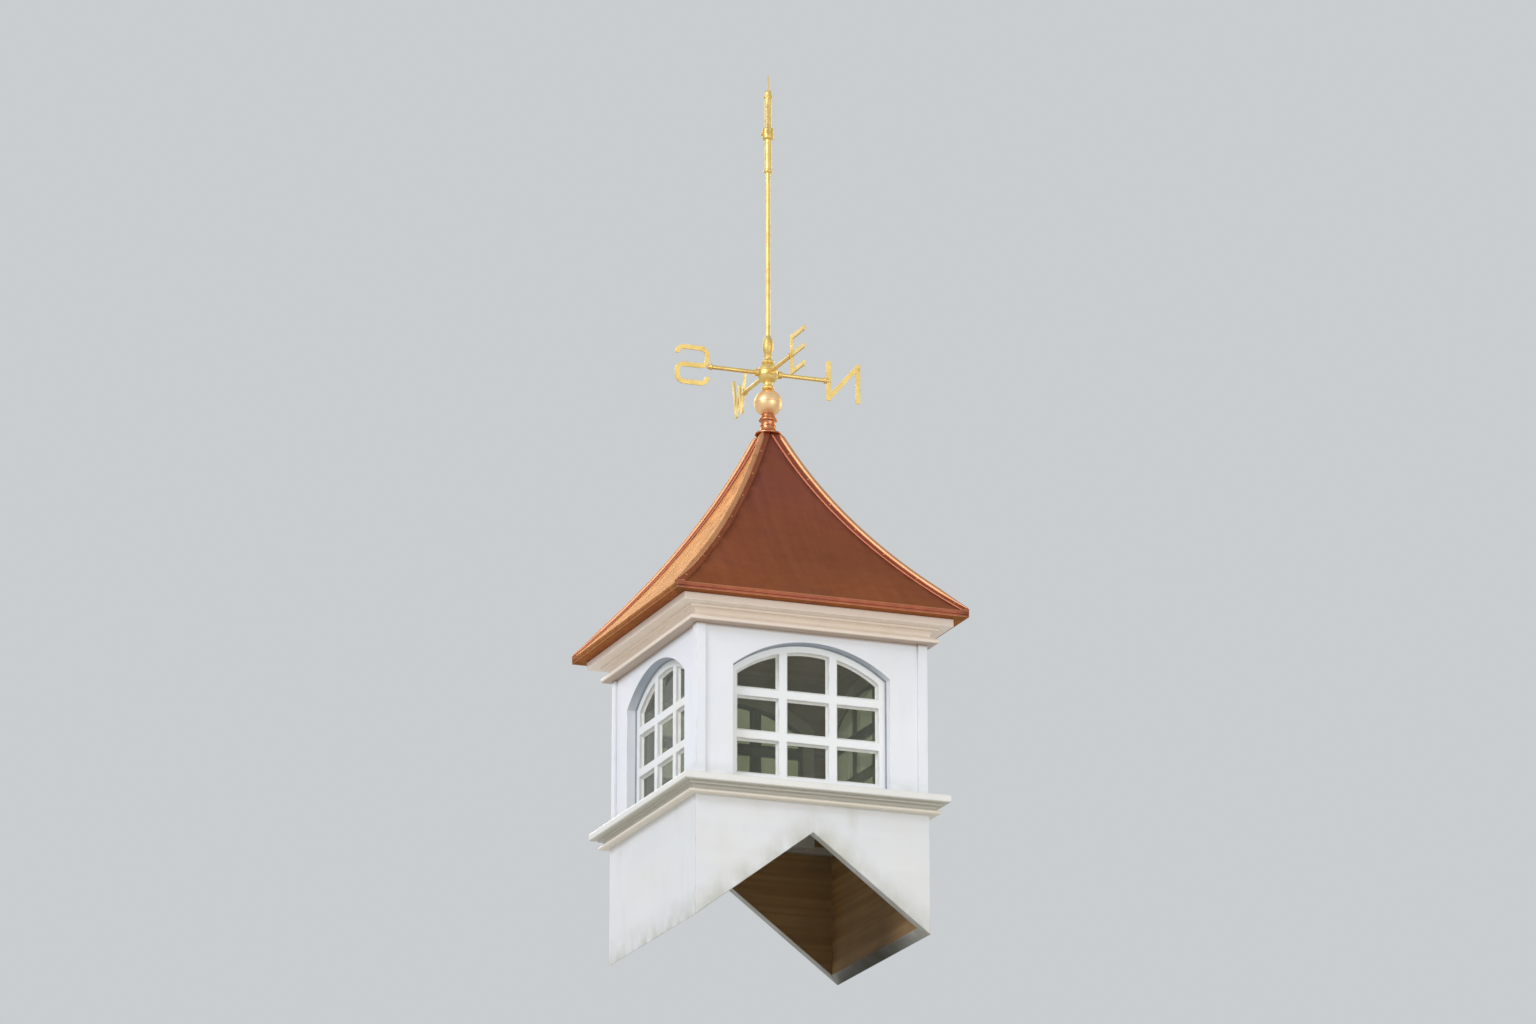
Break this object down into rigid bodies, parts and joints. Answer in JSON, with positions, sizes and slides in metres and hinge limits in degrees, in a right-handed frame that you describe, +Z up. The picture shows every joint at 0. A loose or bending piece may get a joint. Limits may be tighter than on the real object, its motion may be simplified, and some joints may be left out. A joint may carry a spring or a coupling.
{
  "type": "garage roof cupola with weathervane",
  "caption": "Square cupola for a garage ridge: notched saddle base, glazed window box with arched sashes, concave copper roof, and a weathervane that turns on its rod.",
  "frame": {"origin": "on the floor, under the middle of the base, level with the lowest edges of the side boards", "axes": "+Z up along the weathervane's rod, +Y along the roof ridge away from the viewer, +X to the right"},
  "size_m": [0.784, 0.784, 2.3043],
  "materials": {
    "painted_base": "white exterior paint, satin",
    "painted_trim": "white exterior paint, satin",
    "painted_wall": "white exterior paint, satin",
    "painted_sash": "white exterior paint, satin",
    "window_glass": "clear float glass",
    "copper_sheet": "weathered copper sheet, brown-red",
    "copper_seam": "copper flashing, worn brighter",
    "copper_ball": "polished copper, slightly dull",
    "brass": "lacquered brass"
  },
  "bodies": {
    "cupola": {"saddle_board_front": "painted_base", "saddle_board_rear": "painted_base", "side_board_right": "painted_base", "side_board_left": "painted_base", "sill_front": "painted_trim", "wall_panel_front": "painted_wall", "window_sash_front": "painted_sash", "window_glass_front": "window_glass", "crown_front": "painted_trim", "copper_panel_front": "copper_sheet", "sill_right": "painted_trim", "wall_panel_right": "painted_wall", "window_sash_right": "painted_sash", "window_glass_right": "window_glass", "crown_right": "painted_trim", "copper_panel_right": "copper_sheet", "sill_rear": "painted_trim", "wall_panel_rear": "painted_wall", "window_sash_rear": "painted_sash", "window_glass_rear": "window_glass", "crown_rear": "painted_trim", "copper_panel_rear": "copper_sheet", "sill_left": "painted_trim", "wall_panel_left": "painted_wall", "window_sash_left": "painted_sash", "window_glass_left": "window_glass", "crown_left": "painted_trim", "copper_panel_left": "copper_sheet", "corner_board_front_right": "painted_trim", "hip_seam_front_right": "copper_seam", "corner_board_rear_right": "painted_trim", "hip_seam_rear_right": "copper_seam", "corner_board_rear_left": "painted_trim", "hip_seam_rear_left": "copper_seam", "corner_board_front_left": "painted_trim", "hip_seam_front_left": "copper_seam", "roof_deck": "painted_trim", "roof_cap": "copper_sheet", "copper_ball": "copper_ball", "spire_rod": "brass", "compass_hub": "brass", "compass_arms_ns": "brass", "compass_arms_ew": "brass", "brass_bead": "brass"},
    "vane": {"vane_sleeve": "brass", "vane_arrow": "brass"}
  },
  "joints": [
    {"name": "vane_spin", "type": "hinge", "parent": "cupola", "child": "vane", "pos_m": [0, 0, 2.1], "axis": [0, 0, 1], "continuous": true}
  ]
}
